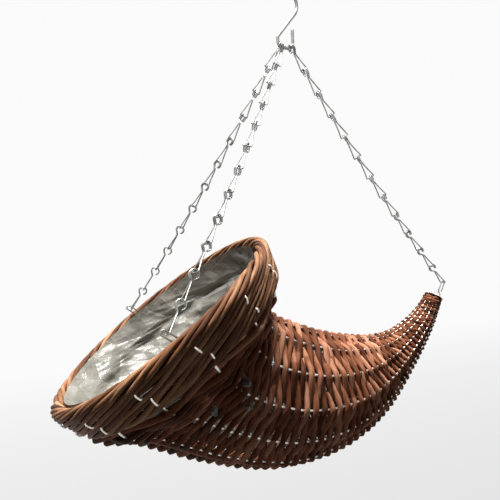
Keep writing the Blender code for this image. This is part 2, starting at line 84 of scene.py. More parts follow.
# Hook and chains, as in the part's source
HOOK_WIRE_RADIUS = 0.0020
CROOK_RADIUS = 0.0180
HOOK_BOTTOM_Z = -0.0707
HOOK_HALF_WIDTH = 0.0105
HOOK_CORNER = 0.0065
HOOK_LEG_HEIGHT = 0.0250
HOOK_SHANK_HEIGHT = 0.0125
SHANK_LEAN = math.radians(37)
CROOK_SWEEP = math.radians(207)
HOOK_BEND_START = 0.0040
HOOK_BEND_ABOVE = 0.0012
HOOK_BEND_BELOW = 0.0016
HOOK_BEND_END = 0.0050
CHAIN_LINKS = 12
CHAIN_PITCH = 0.0332
CHAIN_WIRE = 0.0009
LINK_HALF_WIDTH = 0.0048
LINK_EYE = 0.0050
LINK_EYE_GAP = 0.0005
LINK_SEAT = LINK_EYE - (2 * CHAIN_WIRE + 0.0003) / math.cos(math.pi / 8)
HANG_ANGLES = {"far": math.radians(-43), "near": math.radians(-2), "tip": math.radians(38)}
TWIST_WAYS = {"far": -1, "near": 1, "tip": 1}

# Wire eyes, as in the part's source
EYE_WIRE = 0.0009
EYE_HALF_WIDTH = 0.0027
RIM_EYE_ANGLE = 11 / 3 * RIB_STEP
RIM_EYE_LANE = 7.5 / 12
RIM_EYE_FOOT = -0.0017
RIM_EYE_CLEAR = 0.0022
RIM_EYE_LENGTH = 0.0225
RIM_EYE_LEAN = math.radians(36)
TIP_EYE_LENGTH = 0.0205
TIP_EYE_LEAN = math.radians(63)
TIP_EYE_FOOT = 0.0017

BASKET = "basket"

# Fineness of the meshes
LEAST_LENGTH = 1e-12
LINE_LEAD = 0.06
LINE_SAMPLES = 1601
WALL_SAMPLES = 500
SPAN_STEPS = 12
SHORT_ROW_STEPS = 140
PATH_STEPS = 4
HOOK_BEND_STEPS = 6
RIM_SPAN_STEPS = 14
RIM_SIDES = 10
RIB_SAMPLES = 260
TIE_SAMPLES = 15
FILM_ROWS = 260
FILM_COLUMNS = 280
WIRE_SIDES = 8
HOOK_SIDES = 16

# Cut ends of rods and wires as shares of their radius, the bark's shift from rod to rod, slow swings
END_BULGE = 0.45
END_TAPER = 0.55
BARK_SHIFT = 0.37
NOISE_WAVES = np.array((1.0, 2.3, 4.1))

# Rows of the wall: bands, thinner rods towards the tip, and where pairs of short rows join in
BANDS = 9
BAND_GROWTH = 1.3
THINNING = 0.42
THIN_FROM = 0.45
THIN_SPAN = 0.5
GOLDEN_SHARE = 0.618034
LEAST_SURPLUS = 0.2
JOIN_FIRST = 0.10
JOIN_SPAN = 0.80
JOIN_SLOPE = 9
SHORT_ROW_EDGE = 0.02
LEAST_WEIGHT = 0.03

# Rods of the wall: straightness from rib to rib, thickness, swing past the ribs, tone, and painted shade that
# darkens the tone under the roll and towards the tip
CHORD_SHARE = 0.94
SWING_SHARE = 0.97
ROD_SHARE = 0.58
RIB_PINCH = 0.04
ROD_OVAL = 0.97
CALM_REACH = 0.15
ROD_CALM = 0.30
ROD_SWELL = 0.11
SWELL_WAVE = 0.5
ROD_WANDER = 0.0004
WANDER_WAVE = 0.13
TONE_CHANGES = 3
TONE_PICKS = 4
TONE_SPREAD = 0.36
# Painted shade: the wall rods' tone is lowered under the rolled rim on its sides and underside, in place of
# the rim's shadow, and towards the tip, in place of the shade of its relief
ROLL_SHADE = 0.14
ROLL_SHADE_REACH = 0.10
ROLL_SHADE_SIDE = 0.4
TIP_SHADE = 0.10
TIP_SHADE_FROM = 0.28
TIP_SHADE_REACH = 0.12

# Rods of the rolled rim
RIM_WANDER = 0.0019
RIM_WANDER_WAVE = 0.31
RIM_THICK_END = 1.03
RIM_TAPER = 0.10
RIM_SWELL = 0.05
RIM_SWELL_WAVE = 1.1
RIM_ROD_OVAL = 0.94

# Wires of the frame, and the ties over the rim
RIB_RISE = 0.0021
RIB_CALM = 0.15
RIB_COVER = 0.8
RIB_FADE_IN = 0.012
RIB_FADE_OUT = 0.02
RIB_SINK = 0.0009
SINK_WAVE = 0.16
RIB_THIN_WIRE = 0.0007
RIB_THICKENING = 0.0006
MOUTH_RING_WIRE = 0.0014
TIP_RING_WIRE = 0.0009
TIE_WIRE = 0.0010
TIE_RISE = 0.0006
TIE_DIP = 0.0042
TIE_PLACES = (-0.0050, 0.0098)
TIE_SHIFT = 0.0040
TIE_REACH = 0.0056
TIE_APART = 0.022
TIE_SLANT = 0.030

# Film liner: folds as wave and depth, scraps as run, angle and reach
FILM_START = -0.016
FILM_LENGTH = 0.40
FILM_INSET = 0.0075
LIP_INSET = 0.0030
LIP_REACH = 0.012
FOLDS = ((2.0, 0.0042), (4.3, 0.0030), (8.9, 0.0019), (17.0, 0.0010))
FOLDS_OF_A_SIZE = 3
FOLD_BEND = 1.7
FOLD_GROWTH = 9
LEAST_FOLD = 0.12
FILM_TONE = 0.64
FILM_TONE_BELOW = 0.34
FILM_FADE_LEVEL = 1.40
FILM_FADE = 2.9
LEAST_FILM_TONE = 0.12
FOLD_TONE_DEPTH = 0.022
SCRAPS = ((0.070, 4.80, 0.0270), (0.088, 4.62, 0.0280), (0.060, 4.42, 0.0260),
          (0.070, 2.15, 0.0260), (0.090, 2.60, 0.0265))
SCRAP_LENGTH = 0.0030
SCRAP_ANGLE = 0.070

# Stage
LAMPS = (("key_lamp", (-0.62, -0.22, 1.20), 0.4, 31.0), ("top_lamp", (0.04, 0.00, 1.40), 0.5, 70.0))
LAMP_AIM = (0, 0, -0.45)
FLOOR_HEIGHT = -0.80
FLOOR_BEND = 1.0
FLOOR_FRONT = -2.5
FLOOR_BACK = 2.0
WALL_TOP = 4.5
FLOOR_HALF_WIDTH = 4.5
FLOOR_GLOW = 0.96
SKY_LIGHT = 0.020
CAMERA_LENS = 31.87
CAMERA_SENSOR = 36.0
CAMERA_SHIFT = 0.05
CAMERA_ANGLES = (-22.14278, 2.23850, -2.05188)
CAMERA_PLACE = (-0.26596, -0.50735, -0.33373)


# The horn's line and surface

def horn_heading(run):
    """Heading above +X: the bend times a cubic in the run's share, less the mouth's tilt."""
    share = np.maximum(0.0, (np.asarray(run) - HORN_STRAIGHT) / (HORN_LENGTH - HORN_STRAIGHT))
    one, two, three = HORN_BEND_SHARES
    return HORN_BEND * (one * share + two * share**2 + three * share**3) - MOUTH_TILT


RUNS = np.linspace(-LINE_LEAD, HORN_LENGTH, LINE_SAMPLES)
MIDDLES = (RUNS[1:] + RUNS[:-1]) / 2
LINE_X = np.concatenate(((0.0,), np.cumsum(np.cos(horn_heading(MIDDLES)) * np.diff(RUNS))))
LINE_Z = np.concatenate(((0.0,), np.cumsum(np.sin(horn_heading(MIDDLES)) * np.diff(RUNS))))
LINE_X = LINE_X - np.interp(0, RUNS, LINE_X)
LINE_Z = LINE_Z - np.interp(0, RUNS, LINE_Z)


def rib_radius(run):
    """Radius of the rib line: cubic pieces through the shares, straight under the roll, eased by slopes."""
    share = np.asarray(run, dtype=float) / HORN_LENGTH
    fall = HORN_STRAIGHT * math.tan(ROLL_FLARE) / RIB_RING_RADIUS
    table = np.array(((0.0, 1.0), (HORN_STRAIGHT / HORN_LENGTH, 1 - fall)) + HORN_RADIUS_SHARES)
    rises = np.diff(table[:, 1]) / np.diff(table[:, 0])
    slopes = np.concatenate((rises[:1], rises[:1], (rises[1:-1] + rises[2:]) / 2, rises[-1:]))
    place = np.clip(np.searchsorted(table[:, 0], share) - 1, 0, len(rises) - 1)
    width = table[place + 1, 0] - table[place, 0]
    part = (share - table[place, 0]) / width
    curve = table[place, 1] + (table[place + 1, 1] - table[place, 1]) * part * part * (3 - 2 * part)
    curve = curve + width * slopes[place] * part * (1 - part) ** 2
    curve = curve - width * slopes[place + 1] * part * part * (1 - part)
    return RIB_RING_RADIUS * np.where(share <= table[1, 0], 1 + rises[0] * share, curve)


def across_horn(angle, heading, radius, offset):
    """Sideways and upward steps of the oval: MOUTH_OVAL of the radius across, all of it up."""
    wide = (radius * MOUTH_OVAL + offset) * np.sin(angle)
    high = (radius + offset) * np.cos(angle)
    return np.stack((-np.sin(heading) * high, wide, np.cos(heading) * high), axis=-1)


def rib_spot(run, angle):
    """Point of the ribs' surface: the line's point plus the oval's step at that angle."""
    run, angle = np.broadcast_arrays(np.asarray(run, dtype=float), np.asarray(angle, dtype=float))
    middle = (np.interp(run, RUNS, LINE_X), np.zeros(run.shape), np.interp(run, RUNS, LINE_Z))
    step = across_horn(angle, horn_heading(run), rib_radius(run), 0)
    return MOUTH_CENTRE + np.stack(middle, axis=-1) + step


def unit(vectors):
    """The vectors divided by their lengths."""
    return vectors / np.maximum(np.linalg.norm(vectors, axis=-1, keepdims=True), LEAST_LENGTH)


def circle(count):
    """Angles of a whole turn in equal steps, without the last one."""
    return np.arange(count) * math.tau / count


def wall_normal(run, angle):
    """Outward normal: the step along the horn crossed with the step round it."""
    after = np.minimum(run + NORMAL_REACH, HORN_LENGTH)
    along = rib_spot(after, angle) - rib_spot(run - NORMAL_REACH, angle)
    around = rib_spot(run, angle + RIB_STEP / 2) - rib_spot(run, angle - RIB_STEP / 2)
    return unit(np.cross(along, around))


def wall_point(run, angle, offset):
    """The ribs' surface moved out along its normal by the offset."""
    return rib_spot(run, angle) + wall_normal(run, angle) * np.asarray(offset)[..., None]


def roll_spot(distance):
    """Short and long coordinate, a distance from the back tip, on two half circles with straights between."""
    around = np.mod(distance, ROLL_AROUND)
    quarter = ROLL_END * math.pi / 2
    half = ROLL_STRAIGHT / 2
    first = around / ROLL_END
    front = (around - quarter - ROLL_STRAIGHT) / ROLL_END
    last = (ROLL_AROUND - around) / ROLL_END
    zones = [around <= quarter, around <= quarter + ROLL_STRAIGHT, around <= 3 * quarter + ROLL_STRAIGHT,
             around <= 3 * quarter + 2 * ROLL_STRAIGHT]
    short = np.select(zones, [ROLL_END * np.sin(first), ROLL_END, ROLL_END * np.cos(front), -ROLL_END],
                      -ROLL_END * np.sin(last))
    long = np.select(zones, [half + ROLL_END * np.cos(first), half - (around - quarter),
                             -half - ROLL_END * np.sin(front), around - 3 * quarter - 1.5 * ROLL_STRAIGHT],
                     half + ROLL_END * np.cos(last))
    return short, long


def roll_point(angle, short, long):
    """Point of the rim roll: long runs back along the ribs, short stands square to them."""
    heading = horn_heading(0.0)
    back = short * math.sin(ROLL_FLARE) + long * math.cos(ROLL_FLARE)
    radius = RIB_RING_RADIUS - long * math.sin(ROLL_FLARE)
    axis = np.array((math.cos(heading), 0.0, math.sin(heading)))
    step = across_horn(angle, heading, radius, short * math.cos(ROLL_FLARE))
    return MOUTH_CENTRE + step + axis * np.asarray(back)[..., None]


# Meshes

def tube_grid(paths, across, wide, high, sides, closed):
    """Rings about paths: centre + across * wide * cos(turn) + side * high * sin(turn).

    The across direction is squared to the tangent, and the side is the tangent crossed with it.
    """
    if closed:
        tangent = unit(np.roll(paths, -1, axis=1) - np.roll(paths, 1, axis=1))
    else:
        tangent = unit(np.gradient(paths, axis=1))
    across = unit(across - tangent * np.sum(across * tangent, axis=-1, keepdims=True))
    side = np.cross(tangent, across)
    turn = circle(sides)[:, None]
    ring = across[:, :, None] * (wide[..., None, None] * np.cos(turn))
    ring = ring + side[:, :, None] * (high[..., None, None] * np.sin(turn))
    return paths[:, :, None] + ring


def tube_mesh(name, paths, across, wide, high, sides, closed, tone):
    """One mesh of tubes along paths (tubes, points, 3), closed in a ring or with tapered, capped ends.

    The UV's first value is the length along the tube and its second the share of the way round it.
    """
    paths = np.asarray(paths, dtype=float)
    across = np.broadcast_to(across, paths.shape)
    wide, high, tone = (np.broadcast_to(part, paths.shape[:2]).astype(float) for part in (wide, high, tone))
    if not closed:
        first = unit(paths[:, :1] - paths[:, 1:2]) * wide[:, :1, None] * END_BULGE
        last = unit(paths[:, -1:] - paths[:, -2:-1]) * wide[:, -1:, None] * END_BULGE
        paths = np.concatenate((paths[:, :1] + first, paths, paths[:, -1:] + last), axis=1)
        across, wide, high, tone = (
            np.concatenate((part[:, :1] * share, part, part[:, -1:] * share), axis=1)
            for part, share in ((across, 1.0), (wide, END_TAPER), (high, END_TAPER), (tone, 1.0)))
    rings = tube_grid(paths, across, wide, high, sides, closed)
    tubes, count = paths.shape[:2]
    index = np.arange(tubes * count * sides).reshape(tubes, count, sides)
    here, ahead = index, np.roll(index, -1, axis=1)
    steps = np.linalg.norm(np.roll(paths, -1, axis=1) - paths, axis=-1)
    if not closed:
        here, ahead, steps = here[:, :-1], ahead[:, :-1], steps[:, :-1]
    quads = np.stack((here, np.roll(here, -1, axis=2), np.roll(ahead, -1, axis=2), ahead), axis=-1)
    length = np.concatenate((np.zeros((tubes, 1)), np.cumsum(steps, axis=1)), axis=1)
    length = length + np.arange(tubes)[:, None] * BARK_SHIFT
    girth = np.arange(sides + 1) / sides
    corners = [np.broadcast_arrays(place[..., None], part)
               for place, part in ((length[:, :-1], girth[:-1]), (length[:, :-1], girth[1:]),
                                   (length[:, 1:], girth[1:]), (length[:, 1:], girth[:-1]))]
    uv = np.stack([np.stack(corner, axis=-1) for corner in corners], axis=-2).reshape(-1, 2)
    loops = quads.reshape(-1)
    starts = np.arange(quads[..., 0].size) * 4
    if not closed:
        caps = np.concatenate((index[:, 0, ::-1], index[:, -1]), axis=0)
        starts = np.concatenate((starts, len(loops) + np.arange(len(caps)) * sides))
        loops = np.concatenate((loops, caps.reshape(-1)))
        uv = np.concatenate((uv, np.zeros((caps.size, 2))))
    return raw_mesh(name, rings.reshape(-1, 3), loops, starts, uv, np.repeat(tone.reshape(-1), sides))


def raw_mesh(name, points, loops, starts, uv, tone):
    """A mesh from flat arrays of points, corners, face starts, corner UVs and a tone for each point."""
    mesh = bpy.data.meshes.new(name)
    mesh.vertices.add(len(points))
    mesh.vertices.foreach_set("co", np.ascontiguousarray(points, dtype=np.float32).reshape(-1))
    mesh.loops.add(len(loops))
    mesh.loops.foreach_set("vertex_index", np.ascontiguousarray(loops, dtype=np.int32))
    mesh.polygons.add(len(starts))
    mesh.polygons.foreach_set("loop_start", np.ascontiguousarray(starts, dtype=np.int32))
    mesh.update(calc_edges=True)
    mesh.uv_layers.new(name="along_piece").data.foreach_set("uv", uv.astype(np.float32).reshape(-1))
    layer = mesh.attributes.new("tone", "FLOAT", "POINT")
    layer.data.foreach_set("value", np.ascontiguousarray(tone, dtype=np.float32))
    mesh.polygons.foreach_set("use_smooth", np.ones(len(starts), dtype=bool))
    mesh.validate()
    return mesh


def quad_mesh(name, points, quads, tone):
    """A mesh of four-cornered faces with no UVs of their own, from grids of points, corners and tones."""
    corners = quads.reshape(-1)
    return raw_mesh(name, points.reshape(-1, 3), corners, np.arange(len(corners) // 4) * 4,
                    np.zeros((len(corners), 2)), tone.reshape(-1))


def joined(name, meshes):
    """One mesh out of several, which a single one is already."""
    if len(meshes) == 1:
        return meshes[0]
    objects = [bpy.data.objects.new(name, mesh) for mesh in meshes]
    for item in objects:
        bpy.context.scene.collection.objects.link(item)
    with bpy.context.temp_override(active_object=objects[0], selected_editable_objects=objects):
        bpy.ops.object.join()
    mesh = objects[0].data
    bpy.data.objects.remove(objects[0])
    return mesh


def smooth_path(points, per_span):
    """Catmull-Rom curve through the points, with per_span steps between each two."""
    points = np.asarray(points, dtype=float)
    ends = np.vstack((2 * points[0] - points[1], points, 2 * points[-1] - points[-2]))
    t = np.arange(per_span)[None, :, None] / per_span
    a, b, c, d = (ends[k:len(ends) - 3 + k][:, None] for k in range(4))
    curve = b + 0.5 * t * (c - a + t * (2 * a - 5 * b + 4 * c - d + t * (3 * (b - c) + d - a)))
    return np.vstack((curve.reshape(-1, 3), points[-1:]))


def spread(seed, *shape):
    """Repeatable random numbers from 0 to 1."""
    return np.random.default_rng(seed).random(shape)


def slow_noise(seed, tubes, values, wave):
    """Smooth random swing of -1 to 1 along each tube: the mean of three sines with random phases."""
    phase = spread(seed, tubes, len(NOISE_WAVES)) * math.tau
    swing = np.sin(np.asarray(values)[..., None] * (NOISE_WAVES / wave) * math.tau + phase[:, None])
    return swing.mean(axis=-1)


def add_piece(name, mesh, material, body, nodes):
    """An object at the origin for the mesh, with its material, riding on its body for the CAD nodes."""
    piece = bpy.data.objects.new(name, mesh)
    bpy.context.scene.collection.objects.link(piece)
    mesh.materials.append(material)
    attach(piece, body)
    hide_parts(*nodes)
    return piece


def add_wire(name, path, across, radius, sides, material, body, node_name):
    """A round wire along one path (points, 3), added as a piece for one CAD node."""
    mesh = tube_mesh(name, path[None], across, radius, radius, sides, False, 0.0)
    add_piece(name, mesh, material, body, [node_name])


# Materials

def blank_material(name):
    """A node material and its Principled shader."""
    material = bpy.data.materials.new(name)
    material.use_nodes = True
    return material, material.node_tree.nodes["Principled BSDF"]


def set_sockets(item, **values):
    """Input sockets set by their names, written with _ for a space."""
    for key, value in values.items():
        item.inputs[key.replace("_", " ")].default_value = value


def node(material, kind, **values):
    """A node with the given properties, and its sockets set by name."""
    item = material.node_tree.nodes.new(kind)
    for key, value in values.items():
        if hasattr(item, key):
            setattr(item, key, value)
        else:
            set_sockets(item, **{key: value})
    return item


def math_node(material, operation, second=0.5):
    """A math node and its second value, which counts where nothing is linked to it."""
    item = node(material, "ShaderNodeMath", operation=operation)
    item.inputs[1].default_value = second
    return item


def ramp_node(material, *stops):
    """A colour ramp with its stops, each a place and a colour."""
    ramp = node(material, "ShaderNodeValToRGB")
    band = ramp.color_ramp
    while len(band.elements) < len(stops):
        band.elements.new(0.5)
    for item, (place, colour) in zip(band.elements, stops):
        item.position = place
        item.color = (*colour, 1.0)
    return ramp


def wire_up(material, *links):
    """Links, each a node and its output, then a node and its input."""
    for source, output, target, socket in links:
        material.node_tree.links.new(source.outputs[output], target.inputs[socket])


def seen_rays(material):
    """A node that gives 1 for camera, glossy and transmission rays: the greatest of their three flags."""
    rays = node(material, "ShaderNodeLightPath")
    seen = math_node(material, "MAXIMUM")
    seen_all = math_node(material, "MAXIMUM")
    wire_up(material, (rays, "Is Camera Ray", seen, 0), (rays, "Is Glossy Ray", seen, 1),
            (seen, "Value", seen_all, 0), (rays, "Is Transmission Ray", seen_all, 1))
    return seen_all


def willow_material(name, dark, middle, light, roughness, coat):
    """Barked willow: a ramp over the rod's tone plus streaks along it and blotches, and fine bark bump."""
    material, shader = blank_material(name)
    uv = node(material, "ShaderNodeUVMap", uv_map="along_piece")
    stretch = node(material, "ShaderNodeMapping", Scale=(55.0, 5.0, 1.0))
    streak = node(material, "ShaderNodeTexNoise", Scale=1.0, Detail=5.0, Roughness=0.62)
    blotch_map = node(material, "ShaderNodeMapping", Scale=(14.0, 1.4, 1.0))
    blotch = node(material, "ShaderNodeTexNoise", Scale=1.0, Detail=3.0)
    tone = node(material, "ShaderNodeAttribute", attribute_name="tone")
    streaked = math_node(material, "MULTIPLY_ADD", 0.55)
    blotched = math_node(material, "MULTIPLY_ADD", 0.45)
    lift = math_node(material, "SUBTRACT", 0.08)
    ramp = ramp_node(material, (0.14, dark), (0.42, middle), (0.70, light))
    rough = node(material, "ShaderNodeMapRange", To_Min=roughness - 0.12, To_Max=roughness + 0.14)
    bump = node(material, "ShaderNodeBump", Strength=0.35, Distance=0.0006)
    wire_up(material, (uv, "UV", stretch, "Vector"), (stretch, "Vector", streak, "Vector"),
            (uv, "UV", blotch_map, "Vector"), (blotch_map, "Vector", blotch, "Vector"),
            (streak, "Fac", streaked, 0), (tone, "Fac", streaked, 2),
            (blotch, "Fac", blotched, 0), (streaked, "Value", blotched, 2),
            (blotched, "Value", lift, 0), (lift, "Value", ramp, "Fac"),
            (ramp, "Color", shader, "Base Color"),
            (streak, "Fac", rough, "Value"), (rough, "Result", shader, "Roughness"),
            (streak, "Fac", bump, "Height"), (bump, "Normal", shader, "Normal"))
    set_sockets(shader, Coat_Weight=coat, Coat_Roughness=0.35, Specular_IOR_Level=0.07)
    return material


def zinc_material(name, colour, roughness, grime):
    """Dull zinc on wire: cloudy patches of darker oxide, with a faint bump."""
    material, shader = blank_material(name)
    place = node(material, "ShaderNodeTexCoord")
    cloud = node(material, "ShaderNodeTexNoise", Scale=160.0, Detail=4.0, Roughness=0.6)
    ramp = ramp_node(material, (0.32, tuple(part * grime for part in colour)), (0.62, colour))
    rough = node(material, "ShaderNodeMapRange", To_Min=roughness + 0.18, To_Max=roughness - 0.05)
    bump = node(material, "ShaderNodeBump", Strength=0.2, Distance=0.0002)
    wire_up(material, (place, "Object", cloud, "Vector"), (cloud, "Fac", ramp, "Fac"),
            (ramp, "Color", shader, "Base Color"),
            (cloud, "Fac", rough, "Value"), (rough, "Result", shader, "Roughness"),
            (cloud, "Fac", bump, "Height"), (bump, "Normal", shader, "Normal"))
    set_sockets(shader, Metallic=1.0)
    return material


def film_material(name, colour):
    """Crumpled film: cloudy colour, alpha from the tone, and a bump of clouds and sharp creases."""
    material, shader = blank_material(name)
    place = node(material, "ShaderNodeTexCoord")
    cloud = node(material, "ShaderNodeTexNoise", Scale=22.0, Detail=6.0, Roughness=0.62)
    crease = node(material, "ShaderNodeTexVoronoi", feature="DISTANCE_TO_EDGE", Scale=26.0)
    fold = math_node(material, "MULTIPLY_ADD", 1.6)
    ramp = ramp_node(material, (0.30, tuple(part * 0.45 for part in colour)), (0.66, colour))
    tone = node(material, "ShaderNodeAttribute", attribute_name="tone")
    see = node(material, "ShaderNodeMapRange", To_Min=0.10, To_Max=0.95)
    bump = node(material, "ShaderNodeBump", Strength=0.9, Distance=0.005)
    wire_up(material, (place, "Object", cloud, "Vector"), (cloud, "Fac", ramp, "Fac"),
            (ramp, "Color", shader, "Base Color"),
            (tone, "Fac", see, "Value"), (see, "Result", shader, "Alpha"),
            (place, "Object", crease, "Vector"), (crease, "Distance", fold, 0), (cloud, "Fac", fold, 2),
            (fold, "Value", bump, "Height"), (bump, "Normal", shader, "Normal"))
    set_sockets(shader, Roughness=0.30, Specular_IOR_Level=0.45)
    return material


# Weave

def tone_of_rods(seed, tubes, values):
    """Tone of each rod: one of four random picks, a new one every third of the way round."""
    steps = np.floor(np.asarray(values) / math.tau * TONE_CHANGES + spread(seed, tubes, 1) * TONE_CHANGES)
    picks = spread(seed + 1, tubes, TONE_PICKS)
    return TONE_SPREAD * (np.take_along_axis(picks, steps.astype(int) % TONE_PICKS, axis=1) - 0.5)


def calm(run, least):
    """Share of the full swing: it falls evenly over the horn's last part, down to the least."""
    return np.clip((HORN_LENGTH - run) / CALM_REACH, least, 1)


def weave_rows(rod_width):
    """Run of every row at each angle, with its weight, its width, whether it is whole, and the local width.

    Full rows stand one rod apart on the hollow top. Pairs of short rows join in where the wall is
    longer than that, and all rows share the wall's length at each angle.
    """
    count = RIBS * SPAN_STEPS
    middle = count // 2
    angles = np.arange(count + 1) * math.tau / count
    runs = np.linspace(HORN_STRAIGHT, HORN_LENGTH - TIP_SETBACK, WALL_SAMPLES)
    steps = np.linalg.norm(np.diff(rib_spot(runs[:, None], angles[None]), axis=0), axis=-1)
    arcs = np.concatenate((np.zeros((1, count + 1)), np.cumsum(steps, axis=0)))
    fine = 1 - THINNING * np.clip((runs / HORN_LENGTH - THIN_FROM) / THIN_SPAN, 0, 1)
    rows_at = np.concatenate(((0.0,), np.cumsum(np.diff(arcs[:, 0]) / (rod_width * fine[1:]))))
    full = int(rows_at[-1])
    full_runs = np.interp((np.arange(full) + 0.5) * rows_at[-1] / full, rows_at, runs)
    full_arcs = np.stack([np.interp(full_runs, runs, arc) for arc in arcs.T], axis=1)
    thick = np.interp(full_runs, runs, fine)
    surplus = np.diff(full_arcs, axis=0) / (rod_width * thick[:-1, None]) - 1
    wanted = np.round(np.cumsum(np.maximum(surplus[:, middle], 0)) / 2)
    pairs = np.append(np.diff(np.concatenate(((0.0,), wanted))).astype(int), 0)
    weights, widths, kinds = [], [], []
    tally = 0
    for row in range(full):
        rows = [np.ones(count + 1)]
        for _ in range(pairs[row]):
            level = np.clip(surplus[row] / max(surplus[row, middle], LEAST_SURPLUS), 0, 1)
            tally += 1
            start = JOIN_FIRST + JOIN_SPAN * ((tally * GOLDEN_SHARE) % 1.0)
            rows += [np.clip((level - start) * JOIN_SLOPE + 0.5, 0, 1)] * 2
        weights += rows
        widths += [thick[row]] * len(rows)
        kinds += [True] + [False] * (len(rows) - 1)
    weights, widths = np.array(weights), np.array(widths)
    share = weights * widths[:, None]
    total = share.sum(axis=0)
    places = (np.cumsum(share, axis=0) - share / 2) / total * arcs[-1]
    row_runs = np.stack([np.interp(place, arc, runs) for place, arc in zip(places.T, arcs.T)], axis=1)
    return angles, row_runs, weights, widths, kinds, arcs[-1] / total


def row_path(angles, table, values):
    """A row's line: the straight chord between two ribs mixed with the arc, and its normal and run."""
    run = np.interp(values, angles, table)
    place = np.floor(values / RIB_STEP - 0.5) + 0.5
    before = place * RIB_STEP
    after = (place + 1) * RIB_STEP
    part = ((values - before) / RIB_STEP)[:, None]
    first = rib_spot(np.interp(np.mod(before, math.tau), angles, table), before)
    second = rib_spot(np.interp(np.mod(after, math.tau), angles, table), after)
    straight = first * (1 - part) + second * part
    middle = straight * CHORD_SHARE + rib_spot(run, values) * (1 - CHORD_SHARE)
    return middle, wall_normal(run, values), run


class BasketSettings(bpy.types.PropertyGroup):
    """Sizes and colours of the basket that a user would change."""

    rod_width: FloatProperty(name="Rod width", description="Width of a rod in the wall", default=0.0060,
                             min=0.003, max=0.010, unit="LENGTH")
    rod_bulge: FloatProperty(name="Rod bulge", description="How far a rod passes in or out at a rib",
                             default=0.0037, min=0.001, max=0.005, unit="LENGTH")
    rib_offset: FloatProperty(name="Rib offset", description="How far the wall's middle stands off the ribs",
                              default=0.0022, min=0.0, max=0.005, unit="LENGTH")
    rim_rod_width: FloatProperty(name="Rim rod width", description="Width of a rod in the rolled rim",
                                 default=0.0053, min=0.003, max=0.008, unit="LENGTH")
    rim_turns: IntProperty(name="Rim turns", description="Turns that each rim rod makes round the mouth",
                           default=3, min=1, max=4)
    willow_dark: FloatVectorProperty(name="Dark willow", description="Colour of shaded bark", subtype="COLOR",
                                     default=(0.034, 0.011, 0.006), min=0, max=1)
    willow_middle: FloatVectorProperty(name="Willow", description="Common colour of the rods",
                                       subtype="COLOR", default=(0.232, 0.080, 0.038), min=0, max=1)
    willow_light: FloatVectorProperty(name="Light willow", description="Colour of worn rods", subtype="COLOR",
                                      default=(0.690, 0.345, 0.212), min=0, max=1)
    rim_middle: FloatVectorProperty(name="Rim willow", description="Common colour of the rim's rods",
                                    subtype="COLOR", default=(0.185, 0.080, 0.038), min=0, max=1)
    rim_light: FloatVectorProperty(name="Light rim willow", description="Colour of the rim's worn rods",
                                   subtype="COLOR", default=(0.600, 0.330, 0.175), min=0, max=1)
    zinc: FloatVectorProperty(name="Zinc", description="Colour of the chain and hook wire", subtype="COLOR",
                              default=(0.42, 0.42, 0.40), min=0, max=1)
    rib_wire: FloatVectorProperty(name="Rib wire", description="Colour of the frame's wire", subtype="COLOR",
                                  default=(0.82, 0.79, 0.74), min=0, max=1)
    film: FloatVectorProperty(name="Film", description="Colour of the liner film", subtype="COLOR",
                              default=(0.32, 0.305, 0.262), min=0, max=1)


def settings():
    """The scene's basket settings."""
    return bpy.context.scene.horn_basket


